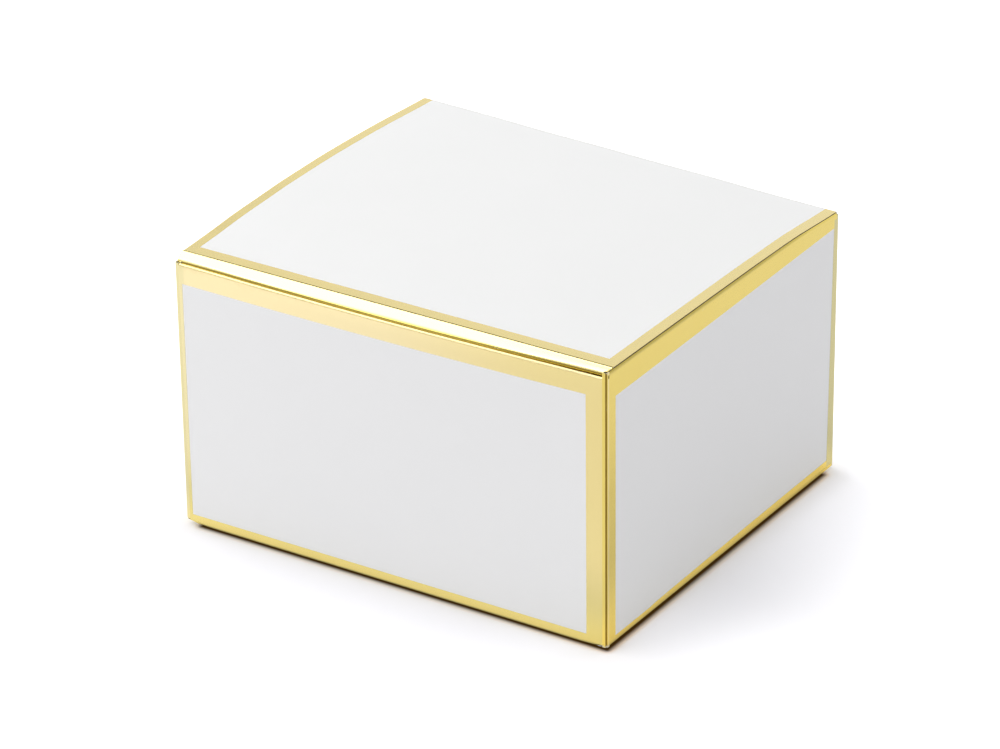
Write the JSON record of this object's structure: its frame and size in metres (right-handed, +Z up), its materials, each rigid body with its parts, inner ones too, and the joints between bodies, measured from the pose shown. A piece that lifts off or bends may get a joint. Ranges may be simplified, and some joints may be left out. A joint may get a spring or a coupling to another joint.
{
  "type": "favor box",
  "caption": "Small folding carton of white card with gold foil along its folds; hinged tuck-in lid, tuck-in bottom and folding dust flaps around a hollow for sweets or a small gift.",
  "frame": {"origin": "centre of the base, on the surface that the box stands on", "axes": "+Z up, -Y out of the front wall that the lid tucks in behind, +X to the right of the front wall"},
  "size_m": [0.06, 0.054, 0.0375],
  "materials": {
    "white_card": "coated white card",
    "gold_fold": "card under gold foil",
    "gold_foil": "polished gold foil",
    "seam_glue": "dried glue"
  },
  "bodies": {
    "sleeve": {"front_wall": "white_card", "back_wall": "white_card", "right_wall": "white_card", "left_wall": "white_card", "front_right_corner_fold": "gold_fold", "front_left_corner_fold": "gold_fold", "back_right_corner_fold": "gold_fold", "seam_corner_fold": "gold_fold", "glue_flap": "white_card", "seam_glue": "seam_glue", "front_wall_foil": "gold_foil", "back_wall_foil": "gold_foil", "right_wall_foil": "gold_foil", "left_wall_foil": "gold_foil", "lid_hinge_fold": "gold_fold", "top_right_dust_fold": "gold_fold", "top_left_dust_fold": "gold_fold", "bottom_hinge_fold": "gold_fold", "bottom_right_dust_fold": "gold_fold", "bottom_left_dust_fold": "gold_fold"},
    "lid": {"lid_panel": "white_card", "lid_foil": "gold_foil", "lid_tuck_fold": "gold_fold"},
    "lid_tuck": {"lid_tuck_flap": "white_card", "lid_tuck_foil": "gold_foil"},
    "top_left_dust_flap": {"top_left_dust_flap": "white_card"},
    "top_right_dust_flap": {"top_right_dust_flap": "white_card"},
    "bottom": {"bottom_panel": "white_card", "bottom_tuck_fold": "gold_fold"},
    "bottom_tuck": {"bottom_tuck_flap": "white_card", "bottom_tuck_foil": "gold_foil"},
    "bottom_left_dust_flap": {"bottom_left_dust_flap": "white_card"},
    "bottom_right_dust_flap": {"bottom_right_dust_flap": "white_card"}
  },
  "joints": [
    {"name": "lid_hinge", "type": "hinge", "parent": "sleeve", "child": "lid", "pos_m": [0, 0.02671, 0.03571], "axis": [-1, 0, 0], "range_deg": [0, 170], "deforming": ["lid_hinge_fold"]},
    {"name": "lid_tuck_bend", "type": "hinge", "parent": "lid", "child": "lid_tuck", "pos_m": [0, -0.02608, 0.0355], "axis": [-1, 0, 0], "range_deg": [0, 68], "deforming": ["lid_tuck_fold"]},
    {"name": "top_left_dust_hinge", "type": "hinge", "parent": "sleeve", "child": "top_left_dust_flap", "pos_m": [-0.02971, 0, 0.03514], "axis": [0, -1, 0], "range_deg": [0, 102], "deforming": ["top_left_dust_fold"]},
    {"name": "top_right_dust_hinge", "type": "hinge", "parent": "sleeve", "child": "top_right_dust_flap", "pos_m": [0.02971, 0, 0.03514], "axis": [0, 1, 0], "range_deg": [0, 102], "deforming": ["top_right_dust_fold"]},
    {"name": "bottom_hinge", "type": "hinge", "parent": "sleeve", "child": "bottom", "pos_m": [0, -0.02671, 0.00029], "axis": [-1, 0, 0], "range_deg": [0, 170], "deforming": ["bottom_hinge_fold"]},
    {"name": "bottom_tuck_bend", "type": "hinge", "parent": "bottom", "child": "bottom_tuck", "pos_m": [0, 0.02608, 0.0005], "axis": [-1, 0, 0], "range_deg": [0, 68], "deforming": ["bottom_tuck_fold"]},
    {"name": "bottom_left_dust_hinge", "type": "hinge", "parent": "sleeve", "child": "bottom_left_dust_flap", "pos_m": [-0.02971, 0, 0.00086], "axis": [0, 1, 0], "range_deg": [0, 102], "deforming": ["bottom_left_dust_fold"]},
    {"name": "bottom_right_dust_hinge", "type": "hinge", "parent": "sleeve", "child": "bottom_right_dust_flap", "pos_m": [0.02971, 0, 0.00086], "axis": [0, -1, 0], "range_deg": [0, 102], "deforming": ["bottom_right_dust_fold"]}
  ],
  "couplings": [
    {"joint": "lid_tuck_bend", "follows": "lid_hinge", "ratio": 0.4},
    {"joint": "top_left_dust_hinge", "follows": "lid_hinge", "ratio": 0.6},
    {"joint": "top_right_dust_hinge", "follows": "lid_hinge", "ratio": 0.6},
    {"joint": "bottom_tuck_bend", "follows": "bottom_hinge", "ratio": 0.4},
    {"joint": "bottom_left_dust_hinge", "follows": "bottom_hinge", "ratio": 0.6},
    {"joint": "bottom_right_dust_hinge", "follows": "bottom_hinge", "ratio": 0.6}
  ]
}
